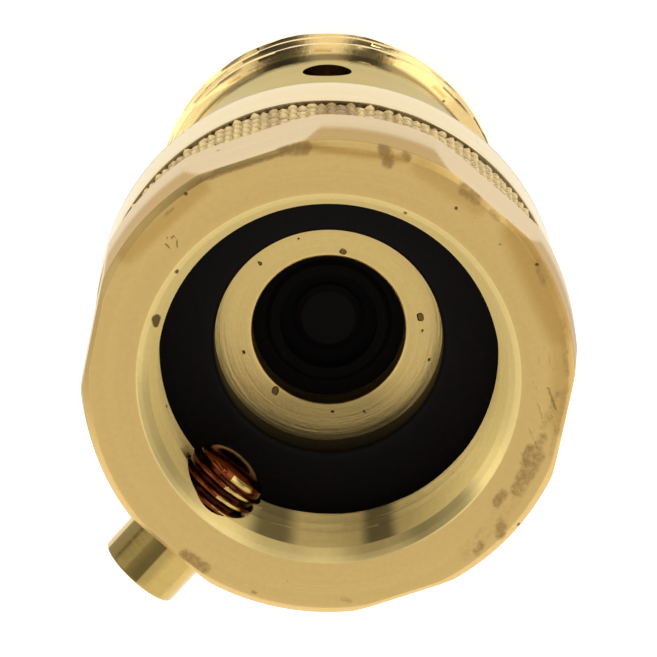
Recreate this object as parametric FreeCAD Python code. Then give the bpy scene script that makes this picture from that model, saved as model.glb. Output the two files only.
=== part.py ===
"""Hose bib vacuum breaker: brass body, break-off set screw and the check valve inside.

Millimetres. The body stands on its outlet end: the origin is the centre of that end, +Z runs
up the bore to the inlet, and +X points along the set screw. Places along the bore are given
as depths below the inlet face, because that is how the body is bored.
"""
import math
import os

import FreeCAD
import Part

V = FreeCAD.Vector
UP = V(0, 0, 1)
AXIS = V(0, 0, 0)

# Hose thread sizes, cut plain here: 3/4-11.5 garden hose thread
THREAD_FEMALE_MINOR_R = 12.25
THREAD_MALE_MAJOR_R = 13.5

# Whole body
HEIGHT = 52.5
CLEAR = 0.05

# Check valve, turned round the hole of the vent seal
SEAL_HOLE_R = 3.6
DISC_LAP = 1.7
DISC_THICKNESS = 1.5
HOLDER_WALL = 0.8
HOLDER_FLOOR = 1.0
HOLDER_RIM = 1.0
STEM_R = 1.5
STEM_FIT = 0.06
RETAINER_GAP = 1.1
RETAINER_THICKNESS = 0.75
RETAINER_SHANK_R = 0.8
RETAINER_SHANK_LENGTH = 2.3
CHECK_TRAVEL = 3.0

# Check spring
SPRING_WIRE_R = 0.35
SPRING_WIRE_SIDES = 6
SPRING_R = 3.3
SPRING_TURNS = 5
SPRING_SPARE = 2.35

# Vent seat sleeve
WATER_GAP = 1.4
SLEEVE_STEP = 0.5
SLEEVE_WALL = 1.2
SLEEVE_FIT = 0.03
SEAT_NOSE_WIDTH = 0.85
O_RING_BACK = 3.4
O_RING_WIRE_R = 0.55
O_RING_SIDES = 8
O_RING_GROOVE = 1.2
O_RING_GROOVE_WIDTH = 1.6

# Vent seal, a floating rubber diaphragm
SEAL_THICKNESS = 1.6
SEAL_LAP = 1.8
SEAL_BEAD = 0.35
SEAL_TRAVEL = 0.65

# Outlet nipple
GASKET_THICKNESS = 0.6
GASKET_WIDTH = 1.0
AIR_GAP = 1.8
AIR_BORE_LAND = 2.2
NECK_WALL = 2.0
SEAL_POCKET_GAP = 0.3
SEAL_POCKET_WALL = 1.15
SEAL_POCKET_DEPTH = 2.3
FLANGE_FLOOR = 0.45
VENT_PORTS = 4
VENT_R = 1.9
VENT_BACK = 3.6
VENT_TURN = 42.0
MALE_THREAD_LENGTH = 8.6
MALE_END_CHAMFER = 1.2
THREAD_START_CHAMFER = 0.5
OUTLET_LAND = 3.5
OUTLET_EDGE = 0.6

# Break-off set screw
SCREW_R = 3.05
SCREW_MARGIN = 0.55
SCREW_TIP_REACH = 2.95
SCREW_DOME = 1.5
SCREW_DOME_STEPS = 4
SCREW_HEAD_LENGTH = 3.65
SCREW_HEAD_R = 3.1
SCREW_HEAD_EDGE = 0.45
SCREW_NECK_R = 1.9
SCREW_NECK_LENGTH = 0.7

# Washer under the hose thread
WASHER_THICKNESS = 3.1
WASHER_WIDTH = 4.83
WASHER_GAP = 0.5
WASHER_EDGE = 0.35

# Inlet body, inside
MOUTH_BEVEL = 0.9
MOUTH_DEPTH = 0.9
COUNTERBORE_STEP = 0.52
COUNTERBORE_DEPTH = 2.3
THREAD_DEPTH = 7.9
RELIEF_STEP = 1.45
RELIEF_ROOM = 1.9
PORT_R = 5.58
PORT_EDGE = 0.35
WEB_THICKNESS = 2.4
LIP_THICKNESS = 1.05

# Inlet body, outside
COLLAR_WALL = 4.15
FLATS = 6
FLAT_CUT = 0.75
FACE_BEVEL = 0.65
FACE_EDGE = 1.5
BAND_STEP = 0.25
GROOVE_DEPTH = 0.6
GROOVE_WIDTH = 0.8
RING_WALL = 2.85
RING_LENGTH = 5.9
RING_EDGE = 0.5

# Guide spider, its snap ring and the clip on the stem
SPIDER_THICKNESS = 2.5
SPIDER_RIM = 1.3
SPIDER_HUB_WALL = 1.2
SPIDER_ARMS = 3
SPIDER_ARM_WIDTH = 1.6
SNAP_WIRE = 0.9
SNAP_DEPTH = 0.45
SNAP_WIDTH = 1.1
SNAP_GAP_ANGLE = 40.0
CLIP_WIDTH = 1.8
CLIP_THICKNESS = 0.6
CLIP_GROOVE = 0.4
CLIP_GAP = 0.25
CLIP_MOUTH = 1.7
STEM_END = 0.9

# Radii that follow, from the valve outwards
DISC_R = SEAL_HOLE_R + DISC_LAP
RETAINER_R = SEAL_HOLE_R - RETAINER_GAP
HOLDER_R = DISC_R + HOLDER_WALL
SLEEVE_UPPER_R = HOLDER_R + WATER_GAP
SLEEVE_LOWER_R = SLEEVE_UPPER_R + SLEEVE_STEP
SLEEVE_R = SLEEVE_LOWER_R + SLEEVE_WALL
SEAT_NOSE_R = SLEEVE_UPPER_R + SEAT_NOSE_WIDTH
AIR_BORE_R = SLEEVE_R + AIR_GAP
NECK_R = AIR_BORE_R + NECK_WALL
SEAL_OUTER_R = AIR_BORE_R + SEAL_LAP
SEAL_POCKET_R = SEAL_OUTER_R + SEAL_POCKET_GAP
FLANGE_R = SEAL_POCKET_R + SEAL_POCKET_WALL
CHAMBER_R = FLANGE_R + CLEAR
RING_R = CHAMBER_R + RING_WALL
BAND_R = RING_R - BAND_STEP
LIP_R = NECK_R + CLEAR

# Radii that follow, from the inlet thread outwards
RELIEF_R = THREAD_FEMALE_MINOR_R + RELIEF_STEP
COUNTERBORE_R = THREAD_FEMALE_MINOR_R + COUNTERBORE_STEP
MOUTH_R = COUNTERBORE_R + MOUTH_BEVEL
WASHER_OUTER_R = RELIEF_R - WASHER_GAP
WASHER_INNER_R = WASHER_OUTER_R - WASHER_WIDTH
COLLAR_R = RELIEF_R + COLLAR_WALL
FLAT_APOTHEM = COLLAR_R - FLAT_CUT
FACE_R = COLLAR_R - FACE_BEVEL
SCREW_TIP_RADIUS = THREAD_FEMALE_MINOR_R - SCREW_TIP_REACH
CLIP_R = STEM_R - CLIP_GROOVE + CLIP_WIDTH

# Depths that follow, from the inlet down
SCREW_DEPTH = SCREW_MARGIN + SCREW_R + CLEAR
COLLAR_LENGTH = 2 * SCREW_DEPTH
SHELF_DEPTH = THREAD_DEPTH + RELIEF_ROOM + WASHER_THICKNESS
WEB_END = SHELF_DEPTH + WEB_THICKNESS
NIPPLE_TOP = WEB_END + GASKET_THICKNESS
SEAL_TOP = WEB_END + CLEAR
SEAL_BOTTOM = SEAL_TOP + SEAL_THICKNESS
SEAT_TOP = SEAL_BOTTOM + SEAL_TRAVEL + CLEAR
POCKET_END = NIPPLE_TOP + SEAL_POCKET_DEPTH
FLANGE_END = POCKET_END + FLANGE_FLOOR
BODY_END = FLANGE_END + LIP_THICKNESS
RING_START = BODY_END - RING_LENGTH
DISC_TOP = SEAL_BOTTOM + CLEAR
DISC_BOTTOM = DISC_TOP + DISC_THICKNESS
HOLDER_BOTTOM = DISC_BOTTOM + HOLDER_FLOOR
SPRING_ROOM = 2 * SPRING_WIRE_R * SPRING_TURNS + CHECK_TRAVEL + SEAL_TRAVEL + SPRING_SPARE
SPIDER_TOP = HOLDER_BOTTOM + SPRING_ROOM
SPIDER_BOTTOM = SPIDER_TOP + SPIDER_THICKNESS
CLIP_TOP = SPIDER_BOTTOM + CLIP_GAP
STEM_BOTTOM = CLIP_TOP + CLIP_THICKNESS + STEM_END

# Depths that follow, from the outlet end up
THREAD_START = HEIGHT - MALE_THREAD_LENGTH
VENT_DEPTH = THREAD_START - VENT_BACK
LAND_START = HEIGHT - OUTLET_LAND
O_RING_DEPTH = LAND_START - O_RING_BACK
O_RING_TOP = O_RING_DEPTH - O_RING_GROOVE_WIDTH / 2
O_RING_BOTTOM = O_RING_DEPTH + O_RING_GROOVE_WIDTH / 2
AIR_BORE_END = O_RING_TOP - AIR_BORE_LAND


def height(depth):
    """Height above the outlet end of a place at a depth below the inlet face."""
    return HEIGHT - depth


def turned(outline):
    """Solid turned about the bore from a closed outline of (radius, depth) corners."""
    points = [V(radius, 0, height(depth)) for radius, depth in outline]
    face = Part.Face(Part.makePolygon(points + points[:1]))
    return face.revolve(AXIS, UP, 360)


def disc(radius, top, bottom, hole=0.0):
    """Round plate or ring between two depths."""
    plate = Part.makeCylinder(radius, bottom - top, V(0, 0, height(bottom)))
    if hole:
        plate = plate.cut(Part.makeCylinder(hole, bottom - top, V(0, 0, height(bottom))))
    return plate


def hexagon(apothem, top, bottom):
    """Six-sided prism whose first side faces +X."""
    corner = apothem / math.cos(math.pi / FLATS)
    turn = math.pi / FLATS
    points = []
    for k in range(FLATS):
        angle = turn * (2 * k + 1)
        points.append(V(corner * math.cos(angle), corner * math.sin(angle), height(bottom)))
    return Part.Face(Part.makePolygon(points + points[:1])).extrude(V(0, 0, bottom - top))


def radial_cylinder(radius, inner, outer, depth, turn=0.0):
    """Cylinder that lies along a radius of the body, between two distances from the bore axis."""
    angle = math.radians(turn)
    out = V(math.cos(angle), math.sin(angle), 0)
    start = V(inner * out.x, inner * out.y, height(depth))
    return Part.makeCylinder(radius, outer - inner, start, out)


def inlet_outside():
    """Collar with six flats, recessed band, groove and rear ring, with an eased front edge."""
    collar = turned([
        (0, 0), (FACE_R, 0), (COLLAR_R, FACE_EDGE), (COLLAR_R, COLLAR_LENGTH),
        (0, COLLAR_LENGTH)])
    collar = collar.common(hexagon(FLAT_APOTHEM, 0, COLLAR_LENGTH))
    rear = turned([
        (0, COLLAR_LENGTH), (BAND_R, COLLAR_LENGTH), (BAND_R, RING_START - GROOVE_WIDTH),
        (BAND_R - GROOVE_DEPTH, RING_START - GROOVE_WIDTH), (BAND_R - GROOVE_DEPTH, RING_START),
        (RING_R - RING_EDGE, RING_START), (RING_R, RING_START + RING_EDGE),
        (RING_R, BODY_END - RING_EDGE), (RING_R - RING_EDGE, BODY_END), (0, BODY_END)])
    return collar.fuse(rear)


def inlet_inside():
    """Everything bored out of the inlet body, as one tool."""
    socket = turned([
        (0, 0), (MOUTH_R, 0), (COUNTERBORE_R, MOUTH_DEPTH), (COUNTERBORE_R, COUNTERBORE_DEPTH),
        (THREAD_FEMALE_MINOR_R, COUNTERBORE_DEPTH + COUNTERBORE_R - THREAD_FEMALE_MINOR_R),
        (THREAD_FEMALE_MINOR_R, THREAD_DEPTH),
        (RELIEF_R, THREAD_DEPTH + RELIEF_R - THREAD_FEMALE_MINOR_R),
        (RELIEF_R, SHELF_DEPTH), (0, SHELF_DEPTH)])
    port = turned([
        (0, SHELF_DEPTH), (PORT_R + PORT_EDGE, SHELF_DEPTH), (PORT_R, SHELF_DEPTH + PORT_EDGE),
        (PORT_R, WEB_END), (0, WEB_END)])
    chamber = turned([
        (0, WEB_END), (CHAMBER_R, WEB_END), (CHAMBER_R, FLANGE_END), (LIP_R, FLANGE_END),
        (LIP_R, BODY_END), (0, BODY_END)])
    return socket.fuse([port, chamber])


def inlet_body():
    """Brass inlet half: hose socket, shelf and port, and the rolled lip that holds the nipple."""
    hole = radial_cylinder(SCREW_R + CLEAR, PORT_R, COLLAR_R + 1, SCREW_DEPTH)
    return inlet_outside().cut(inlet_inside()).cut(hole)


def outlet_nipple():
    """Brass outlet half: flange, neck with its vent ports and the plain male thread stretch."""
    outside = turned([
        (0, NIPPLE_TOP), (FLANGE_R, NIPPLE_TOP), (FLANGE_R, FLANGE_END - CLEAR),
        (NECK_R, FLANGE_END - CLEAR), (NECK_R, THREAD_START),
        (THREAD_MALE_MAJOR_R - THREAD_START_CHAMFER, THREAD_START),
        (THREAD_MALE_MAJOR_R, THREAD_START + THREAD_START_CHAMFER),
        (THREAD_MALE_MAJOR_R, HEIGHT - MALE_END_CHAMFER),
        (THREAD_MALE_MAJOR_R - MALE_END_CHAMFER, HEIGHT), (0, HEIGHT)])
    bore_r = SLEEVE_R + SLEEVE_FIT
    groove_r = bore_r + O_RING_GROOVE
    inside = turned([
        (0, NIPPLE_TOP), (SEAL_POCKET_R, NIPPLE_TOP), (SEAL_POCKET_R, POCKET_END),
        (AIR_BORE_R, POCKET_END), (AIR_BORE_R, AIR_BORE_END), (bore_r, AIR_BORE_END),
        (bore_r, O_RING_TOP), (groove_r, O_RING_TOP), (groove_r, O_RING_BOTTOM),
        (bore_r, O_RING_BOTTOM), (bore_r, LAND_START), (SLEEVE_LOWER_R, LAND_START),
        (SLEEVE_LOWER_R, HEIGHT - OUTLET_EDGE), (SLEEVE_LOWER_R + OUTLET_EDGE, HEIGHT),
        (0, HEIGHT)])
    nipple = outside.cut(inside)
    for k in range(VENT_PORTS):
        turn = VENT_TURN + k * 360.0 / VENT_PORTS
        nipple = nipple.cut(radial_cylinder(VENT_R, SLEEVE_R, NECK_R + 1, VENT_DEPTH, turn))
    return nipple


def body_gasket():
    """Flat ring pinched between the web and the nipple."""
    return disc(FLANGE_R, WEB_END, NIPPLE_TOP, FLANGE_R - GASKET_WIDTH)


def hose_washer():
    """Thick rubber washer that lies on the shelf behind the hose thread."""
    top = SHELF_DEPTH - WASHER_THICKNESS
    return turned([
        (WASHER_INNER_R, top + WASHER_EDGE), (WASHER_INNER_R + WASHER_EDGE, top),
        (WASHER_OUTER_R - WASHER_EDGE, top), (WASHER_OUTER_R, top + WASHER_EDGE),
        (WASHER_OUTER_R, SHELF_DEPTH), (WASHER_INNER_R, SHELF_DEPTH)])


def break_off_screw():
    """Set screw along +X: domed tip in the bore, grooved neck at the flat and a plain head.

    The dome is a quarter of an ellipse, taken in a few straight steps.
    """
    neck_end = FLAT_APOTHEM
    neck_start = neck_end - SCREW_NECK_LENGTH
    head_end = neck_end + SCREW_HEAD_LENGTH
    z = height(SCREW_DEPTH)
    outline = []
    for k in range(SCREW_DOME_STEPS + 1):
        angle = math.pi / 2 * k / SCREW_DOME_STEPS
        along = SCREW_TIP_RADIUS + SCREW_DOME * (1 - math.cos(angle))
        outline.append((along, SCREW_R * math.sin(angle)))
    outline += [
        (neck_start, SCREW_R), (neck_start, SCREW_NECK_R), (neck_end, SCREW_NECK_R),
        (neck_end, SCREW_HEAD_R), (head_end - SCREW_HEAD_EDGE, SCREW_HEAD_R),
        (head_end, SCREW_HEAD_R - SCREW_HEAD_EDGE), (head_end, 0)]
    points = [V(along, 0, z + radius) for along, radius in outline]
    face = Part.Face(Part.makePolygon(points + points[:1]))
    return face.revolve(V(0, 0, z), V(1, 0, 0), 360)


def vent_seal():
    """Rubber diaphragm ring with a raised bead round its hole and a thin outer edge."""
    bead_r = SEAL_HOLE_R + 2 * SEAL_BEAD
    outer_top = SEAL_TOP + SEAL_BEAD
    return turned([
        (SEAL_HOLE_R, SEAL_TOP), (bead_r, SEAL_TOP), (bead_r + SEAL_BEAD, outer_top),
        (AIR_BORE_R, outer_top), (AIR_BORE_R + SEAL_BEAD, SEAL_TOP), (SEAL_OUTER_R, SEAL_TOP),
        (SEAL_OUTER_R, SEAL_BOTTOM), (SEAL_HOLE_R, SEAL_BOTTOM)])


def vent_seat_sleeve():
    """Tube whose narrow rim is the vent seat and whose foot is pressed in the nipple."""
    rim_length = SLEEVE_R - SEAT_NOSE_R
    snap_top = SPIDER_BOTTOM
    snap_bottom = snap_top + SNAP_WIDTH
    snap_r = SLEEVE_LOWER_R + SNAP_DEPTH
    return turned([
        (SLEEVE_UPPER_R, SEAT_TOP), (SEAT_NOSE_R, SEAT_TOP), (SLEEVE_R, SEAT_TOP + rim_length),
        (SLEEVE_R, LAND_START), (SLEEVE_LOWER_R, LAND_START), (SLEEVE_LOWER_R, snap_bottom),
        (snap_r, snap_bottom), (snap_r, snap_top), (SLEEVE_LOWER_R, snap_top),
        (SLEEVE_LOWER_R, SPIDER_TOP), (SLEEVE_UPPER_R, SPIDER_TOP)])


def sleeve_o_ring():
    """O-ring in the groove round the sleeve's foot, its section squeezed to eight sides."""
    centre_r = SLEEVE_R + (SLEEVE_FIT + O_RING_GROOVE) / 2
    corner_r = O_RING_WIRE_R / math.cos(math.pi / O_RING_SIDES)
    corners = []
    for k in range(O_RING_SIDES):
        angle = (2 * k + 1) * math.pi / O_RING_SIDES
        corners.append((
            centre_r + corner_r * math.cos(angle), O_RING_DEPTH + corner_r * math.sin(angle)))
    return turned(corners)


def check_disc():
    """Rubber disc that closes the hole of the vent seal."""
    return disc(DISC_R, DISC_TOP, DISC_BOTTOM, RETAINER_SHANK_R)


def disc_holder():
    """Cup under the disc with a tapered back and a long guide stem, grooved for its clip."""
    rim_top = DISC_BOTTOM - HOLDER_RIM
    taper = HOLDER_BOTTOM + HOLDER_FLOOR
    clip_r = STEM_R - CLIP_GROOVE
    clip_bottom = CLIP_TOP + CLIP_THICKNESS
    shank_end = DISC_BOTTOM + RETAINER_SHANK_LENGTH - DISC_THICKNESS
    return turned([
        (DISC_R + CLEAR, rim_top), (HOLDER_R, rim_top), (HOLDER_R, DISC_BOTTOM),
        (SPRING_R + SPRING_WIRE_R + 2 * CLEAR, HOLDER_BOTTOM),
        (SPRING_R - SPRING_WIRE_R - 2 * CLEAR, HOLDER_BOTTOM), (STEM_R, taper),
        (STEM_R, CLIP_TOP), (clip_r, CLIP_TOP), (clip_r, clip_bottom), (STEM_R, clip_bottom),
        (STEM_R, STEM_BOTTOM - CLIP_GROOVE), (STEM_R - CLIP_GROOVE, STEM_BOTTOM),
        (0, STEM_BOTTOM), (0, shank_end), (RETAINER_SHANK_R, shank_end),
        (RETAINER_SHANK_R, DISC_BOTTOM), (DISC_R + CLEAR, DISC_BOTTOM)])


def disc_retainer():
    """Domed button whose shank goes through the disc into the holder."""
    edge = RETAINER_THICKNESS / 3
    head_top = DISC_TOP - RETAINER_THICKNESS
    return turned([
        (0, head_top), (RETAINER_R - 2 * edge, head_top), (RETAINER_R, head_top + edge),
        (RETAINER_R, DISC_TOP), (RETAINER_SHANK_R, DISC_TOP),
        (RETAINER_SHANK_R, DISC_TOP + RETAINER_SHANK_LENGTH),
        (0, DISC_TOP + RETAINER_SHANK_LENGTH)])


def guide_spider():
    """Ring with three arms and a bored hub, in the sleeve under the spring."""
    outer = SLEEVE_LOWER_R - CLEAR
    spider = disc(outer, SPIDER_TOP + CLEAR, SPIDER_BOTTOM - CLEAR, outer - SPIDER_RIM)
    hub = disc(STEM_R + SPIDER_HUB_WALL, SPIDER_TOP + CLEAR, SPIDER_BOTTOM - CLEAR)
    length = outer - SPIDER_RIM / 2
    arms = []
    for k in range(SPIDER_ARMS):
        corner = V(0, -SPIDER_ARM_WIDTH / 2, height(SPIDER_BOTTOM - CLEAR))
        arm = Part.makeBox(length, SPIDER_ARM_WIDTH, SPIDER_THICKNESS - 2 * CLEAR, corner)
        arm.rotate(AXIS, UP, k * 360.0 / SPIDER_ARMS)
        arms.append(arm)
    spider = spider.fuse([hub] + arms).removeSplitter()
    return spider.cut(disc(STEM_R + STEM_FIT, SPIDER_TOP, SPIDER_BOTTOM))


def gapped_ring(outer, inner, top, bottom, gap_angle):
    """Flat snap ring with a gap centred on +X."""
    ring = disc(outer, top, bottom, inner)
    wedge = Part.makeCylinder(
        outer + 1, bottom - top, V(0, 0, height(bottom)), UP, gap_angle)
    wedge.rotate(AXIS, UP, -gap_angle / 2)
    return ring.cut(wedge)


def retaining_ring():
    """Snap ring in the sleeve's groove that carries the spider."""
    outer = SLEEVE_LOWER_R + SNAP_DEPTH - CLEAR
    top = SPIDER_BOTTOM + CLEAR
    return gapped_ring(outer, SLEEVE_LOWER_R - SNAP_WIRE, top, top + SNAP_WIRE, SNAP_GAP_ANGLE)


def stem_clip():
    """Open clip in the stem's groove, below the spider."""
    inner = STEM_R - CLIP_GROOVE
    bottom = CLIP_TOP + CLIP_THICKNESS
    ring = disc(CLIP_R, CLIP_TOP, bottom, inner)
    mouth = Part.makeBox(
        CLIP_R + 1, CLIP_MOUTH, CLIP_THICKNESS, V(0, -CLIP_MOUTH / 2, height(bottom)))
    return ring.cut(mouth)


def check_spring():
    """Coil spring between the holder and the spider: a six-sided wire swept along a helix."""
    start = HOLDER_BOTTOM + SPRING_WIRE_R + CLEAR
    end = SPIDER_TOP - SPRING_WIRE_R
    length = end - start
    helix = Part.makeHelix(length / SPRING_TURNS, length, SPRING_R)
    helix.translate(V(0, 0, height(end)))
    corners = []
    for k in range(SPRING_WIRE_SIDES):
        angle = 2 * math.pi * k / SPRING_WIRE_SIDES
        corners.append(V(
            SPRING_R + SPRING_WIRE_R * math.cos(angle), 0,
            height(end) + SPRING_WIRE_R * math.sin(angle)))
    wire = Part.makePolygon(corners + corners[:1])
    return Part.Wire(helix.Edges).makePipeShell([wire], True, True)


PIECES = [
    inlet_body, outlet_nipple, body_gasket, hose_washer, break_off_screw, vent_seal,
    vent_seat_sleeve, sleeve_o_ring, check_disc, disc_holder, disc_retainer, guide_spider,
    retaining_ring, stem_clip, check_spring]

os.makedirs("parts", exist_ok=True)
for piece in PIECES:
    shape = piece()
    box = shape.BoundBox
    shape.exportStep("parts/%s.step" % piece.__name__)
    print("%-18s valid %s solids %d volume %9.2f z %6.2f to %6.2f" % (
        piece.__name__, shape.isValid(), len(shape.Solids), shape.Volume, box.ZMin, box.ZMax))
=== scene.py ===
"""Looks of a brass hose bib vacuum breaker: threads, knurling, turned and tarnished brass, rubber."""
import math

import bpy
import numpy as np
from mathutils import Matrix, Vector


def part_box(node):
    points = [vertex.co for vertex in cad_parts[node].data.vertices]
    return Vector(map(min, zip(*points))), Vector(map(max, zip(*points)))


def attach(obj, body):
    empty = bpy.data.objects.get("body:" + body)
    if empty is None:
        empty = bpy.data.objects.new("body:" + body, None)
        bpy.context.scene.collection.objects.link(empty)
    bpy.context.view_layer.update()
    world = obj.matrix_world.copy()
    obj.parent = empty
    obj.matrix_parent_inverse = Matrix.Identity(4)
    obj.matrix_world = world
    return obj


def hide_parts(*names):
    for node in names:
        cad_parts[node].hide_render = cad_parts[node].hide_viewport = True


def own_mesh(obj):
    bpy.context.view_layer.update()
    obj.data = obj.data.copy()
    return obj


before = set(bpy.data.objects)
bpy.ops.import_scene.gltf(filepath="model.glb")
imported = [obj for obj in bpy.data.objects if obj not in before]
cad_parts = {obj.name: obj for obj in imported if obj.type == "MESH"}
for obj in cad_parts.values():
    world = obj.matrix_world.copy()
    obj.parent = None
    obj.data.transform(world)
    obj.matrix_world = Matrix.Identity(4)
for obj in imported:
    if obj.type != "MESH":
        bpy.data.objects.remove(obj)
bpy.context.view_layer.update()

MM = 0.001

# Camera and light, fitted to the photograph: angles in degrees, lengths in mm
TILT = 16.0
CAMERA_DISTANCE = 416.0
PIXELS_PER_MM = 14.07
PHOTO_SIZE = 657
INLET_CENTRE_PIXEL = (328.6, 380.5)
SCREW_IMAGE_ANGLE = 228.5
SENSOR = 36.0

# Sizes from the frame, in mm
BODY_LOW, BODY_HIGH = [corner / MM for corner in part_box("inlet_body")]
NIPPLE_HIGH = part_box("outlet_nipple")[1] / MM
WASHER_LOW, WASHER_HIGH = [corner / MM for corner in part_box("hose_washer")]
SCREW_LOW, SCREW_HIGH = [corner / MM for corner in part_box("break_off_screw")]
SPRING_LOW, SPRING_HIGH = [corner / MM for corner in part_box("check_spring")]
INLET_Z = BODY_HIGH.z
COLLAR_R = BODY_HIGH.y
FLAT_APOTHEM = -BODY_LOW.x
BODY_END_Z = BODY_LOW.z
SCREW_Z = (SCREW_LOW.z + SCREW_HIGH.z) / 2
SCREW_HEAD_R = SCREW_HIGH.y
FLANGE_R = NIPPLE_HIGH.x

# Inlet half, in mm; depths are below the inlet face
COLLAR_LENGTH = 2 * (INLET_Z - SCREW_Z)
FACE_R = COLLAR_R - 0.8
FACE_CHAMFER = 0.5
FLAT_BEVEL = 0.33
TAPER_END = 2.9
REAR_CHAMFER = 0.35
REAR_LENGTH = 0.6
BAND_R = 16.9
GROOVE_DEPTH = 0.5
GROOVE_WIDTH = 0.3
RING_R = 17.15
RING_LENGTH = 5.9
MOUTH_R = 13.67
MOUTH_STEP = 0.4
MOUTH_DEPTH = 0.9
LEAD_R = 12.77
LEAD_END = 2.8
FEMALE_R = 12.25
FEMALE_END = 7.9
RELIEF_R = 13.7
SHELF_DEPTH = INLET_Z - WASHER_LOW.z
PORT_R = 5.58
WEB_END = 15.3
CHAMBER_R = FLANGE_R + 0.05
LIP_R = 13.05
LIP_THICKNESS = 1.05
KNURL_TEETH = 75
KNURL_STEPS = 6
KNURL_LOW = -0.25
KNURL_HIGH = 0.25
KNURL_SEED = 4

# Hose thread, in mm
PITCH = 25.4 / 11.5
THREAD_DEPTH = 1.15
CREST_SHARE = 0.2
ROOT_SHARE = 0.2
MALE_START = 0.276
FEMALE_START = 0.5

# Outlet half, in mm
NECK_R = 13.0
MALE_R = 13.5
THREAD_LENGTH = 8.6
RUN_OUT = 5.7
RUN_OUT_LENGTH = 0.5
END_CHAMFER = 1.2
AIR_BORE_R = 11.0
AIR_BORE_END = 42.6
SLEEVE_BORE_R = 9.23
O_RING_DEPTH = 45.6
LAND_DEPTH = 49.0
OUTLET_R = 8.0
POCKET_R = 13.1
POCKET_END = 18.2
VENT_R = 1.9
VENT_DEPTH = 40.3
VENT_TURN = 42.0
VENT_PORTS = 4

# Screw, washer and spring, in mm
SCREW_R = 3.05
SCREW_PITCH = 0.9
SCREW_THREAD = 0.34
SCREW_DOME = 1.5
SCREW_NECK_R = 1.9
SCREW_NECK = 0.7
SCREW_HEAD_ROUND = 0.22
WASHER_INNER_R = 8.37
SPRING_WIRE_R = 0.35
SPRING_R = 3.3
SPRING_TURNS = 5.0
SPRING_END_SHARE = 0.14
SPRING_END_RISE = 1.4 * SPRING_WIRE_R

# Marks on the brass: start and end across and up the picture from the bore's axis,
# width and strength; lengths in mm
FACE_STAINS = [
    (-8.9, 14.72, -2.0, 17.0, 0.15, 0.9), (-3.2, 16.9, -1.7, 16.95, 0.55, 0.9),
    (3.9, 17.0, 4.2, 16.0, 0.55, 0.9), (5.3, 16.5, 5.6, 16.3, 0.35, 0.7),
    (9.5, 14.0, 10.4, 13.3, 0.55, 0.75), (11.5, 12.3, 11.9, 11.9, 0.3, 0.6),
    (14.7, 8.7, 15.2, 7.2, 0.35, 0.6), (-10.3, -13.0, -8.9, -14.0, 0.55, 0.8),
    (16.3, -0.8, 15.8, -2.0, 0.3, 0.5), (15.9, -2.2, 15.3, -3.4, 0.45, 0.5),
    (15.3, -4.2, 14.8, -5.2, 0.5, 0.6), (14.4, -5.0, 14.0, -6.2, 0.45, 0.8),
    (15.0, -5.6, 14.2, -7.2, 0.6, 0.7), (14.0, -7.0, 13.5, -8.2, 0.7, 0.7),
    (12.5, -8.4, 12.0, -9.1, 0.45, 0.75), (12.4, -10.7, 12.3, -11.5, 0.5, 0.75),
    (10.9, -12.3, 10.6, -12.8, 0.4, 0.7), (16.6, 4.5, 16.9, 0.5, 0.35, 0.45),
    (16.9, -0.5, 15.9, -5.5, 0.4, 0.4), (13.2, -9.0, 9.8, -12.9, 0.9, 0.35),
    (-11.5, 12.1, -11.0, 12.6, 0.15, 0.7), (1.0, -16.3, 1.5, -16.5, 0.3, 0.5),
    (-5.5, -15.8, -5.3, -15.9, 0.15, 0.8)]
FACE_PITS = [
    (-12.25, 4.45, -12.15, 3.95, 0.36, 1.0), (-10.75, 8.0, -10.7, 7.95, 0.16, 1.0),
    (-11.35, 10.5, -10.8, 10.6, 0.16, 0.7), (-11.5, 10.1, -11.2, 9.8, 0.16, 0.7),
    (-10.7, 10.3, -10.7, 9.9, 0.16, 0.7), (-3.0, -14.9, -2.9, -14.9, 0.12, 0.8),
    (14.7, 8.6, 14.75, 8.5, 0.16, 0.9), (10.3, 11.9, 10.35, 11.9, 0.14, 0.9),
    (12.1, 10.0, 12.15, 9.9, 0.1, 0.8)]
SHELF_PITS = [
    (1.0, 5.98, 1.1, 5.95, 0.24, 1.0), (6.7, 1.1, 6.75, 0.92, 0.26, 1.0),
    (-3.95, -4.75, -3.9, -4.5, 0.26, 1.0), (-5.06, 5.1, -5.0, 5.1, 0.16, 0.9),
    (-6.19, -1.6, -6.19, -1.7, 0.14, 0.8), (0.25, -6.18, 0.3, -6.18, 0.15, 0.7),
    (2.6, -6.25, 2.65, -6.25, 0.15, 0.7), (7.4, -2.3, 7.5, -2.2, 0.12, 0.8),
    (-2.2, 6.9, -2.1, 6.9, 0.12, 0.7)]

# Wide dull marks on the face, as above
FACE_DULL = [
    (13.4, 10.8, 16.6, 3.5, 1.3, 0.55), (16.6, 3.5, 16.6, -3.5, 0.9, 0.35),
    (6.5, 15.6, 10.5, 12.8, 0.8, 0.35), (-1.7, 17.1, 5.5, 16.2, 0.3, 0.6),
    (-14.3, 9.2, -9.0, 14.2, 0.7, 0.4)]
FACE_SCRATCHES = [
    (15.37, 2.52, 15.93, 0.82, 0.14, 0.52), (14.85, 1.81, 15.2, 0.92, 0.13, 0.5),
    (17.0, 2.63, 17.0, 1.99, 0.12, 0.45), (14.46, 0.04, 14.88, -0.78, 0.14, 0.5),
    (14.88, -1.66, 15.24, -2.85, 0.16, 0.55), (15.6, -0.48, 16.16, -2.1, 0.2, 0.58),
    (15.9, -2.6, 16.2, -3.9, 0.15, 0.5), (14.2, -3.4, 14.9, -5.0, 0.15, 0.5),
    (13.7, -5.2, 14.2, -6.6, 0.15, 0.5), (12.9, -7.6, 13.4, -8.8, 0.14, 0.45)]
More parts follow.
